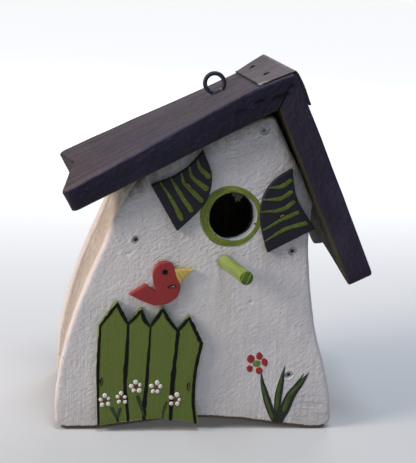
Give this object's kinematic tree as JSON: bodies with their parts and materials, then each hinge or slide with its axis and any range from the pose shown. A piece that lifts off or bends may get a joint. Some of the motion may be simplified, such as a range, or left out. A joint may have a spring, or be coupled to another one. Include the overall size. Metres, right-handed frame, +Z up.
{
  "type": "birdhouse",
  "caption": "Crooked painted wooden nest box with a round entrance, a perch, plywood cut-outs on its front, a hanging eye and a steep roof flap that lifts for cleaning.",
  "frame": {"origin": "under the middle of the object's box, at the level of its feet", "axes": "+Z up, -Y out of the front with the entrance, +X towards the steep roof flap"},
  "size_m": [0.2125, 0.163, 0.2529],
  "materials": {
    "white_paint": "matt white brush-painted wood",
    "rough_white_paint": "white paint on rough-sawn wood",
    "bare_wood": "bare pine",
    "roof_stain": "dark violet stain, worn satin",
    "strip_rubber": "matt black, stained like the roof on top",
    "dark_painted_steel": "steel wire painted over with roof stain",
    "perch_green": "light green paint",
    "navy_paint": "navy paint on plywood with green strokes",
    "bird_red": "red paint on plywood",
    "fence_green": "green paint on plywood with black strokes",
    "coppered_steel": "coppered staple wire",
    "zinc_steel": "zinc-plated, painted over where it shows"
  },
  "bodies": {
    "house": {"front_panel": "white_paint", "back_panel": "white_paint", "left_side": "rough_white_paint", "right_side": "rough_white_paint", "floor_board": "bare_wood", "ridge_rail": "bare_wood", "roof_left": "roof_stain", "ridge_strip_left": "strip_rubber", "hanging_eye": "dark_painted_steel", "strip_staple_left_1": "dark_painted_steel", "strip_staple_left_2": "dark_painted_steel", "perch": "perch_green", "left_shutter": "navy_paint", "right_shutter": "navy_paint", "bird": "bird_red", "fence": "fence_green", "left_shutter_staple": "coppered_steel", "right_shutter_staple": "coppered_steel", "bird_staple": "coppered_steel", "fence_staple_left": "coppered_steel", "fence_staple_right": "coppered_steel", "front_screw_1": "zinc_steel", "front_screw_2": "zinc_steel", "front_screw_3": "zinc_steel", "front_screw_4": "zinc_steel", "front_screw_5": "zinc_steel", "front_floor_nail_1": "zinc_steel", "front_floor_nail_2": "zinc_steel", "back_screw_1": "zinc_steel", "back_screw_2": "zinc_steel", "back_screw_3": "zinc_steel", "back_screw_4": "zinc_steel", "back_screw_5": "zinc_steel", "back_floor_nail_1": "zinc_steel", "back_floor_nail_2": "zinc_steel", "roof_screw_1": "zinc_steel", "roof_screw_2": "zinc_steel", "roof_screw_3": "zinc_steel", "roof_screw_4": "zinc_steel"},
    "roof_flap": {"roof_right": "roof_stain", "ridge_strip_right": "strip_rubber", "strip_staple_right_1": "dark_painted_steel", "strip_staple_right_2": "dark_painted_steel"}
  },
  "joints": [
    {"name": "roof_flap_hinge", "type": "hinge", "parent": "house", "child": "roof_flap", "pos_m": [0.0406, 0.018, 0.2525], "axis": [0, -1, 0], "range_deg": [0, 120]}
  ]
}
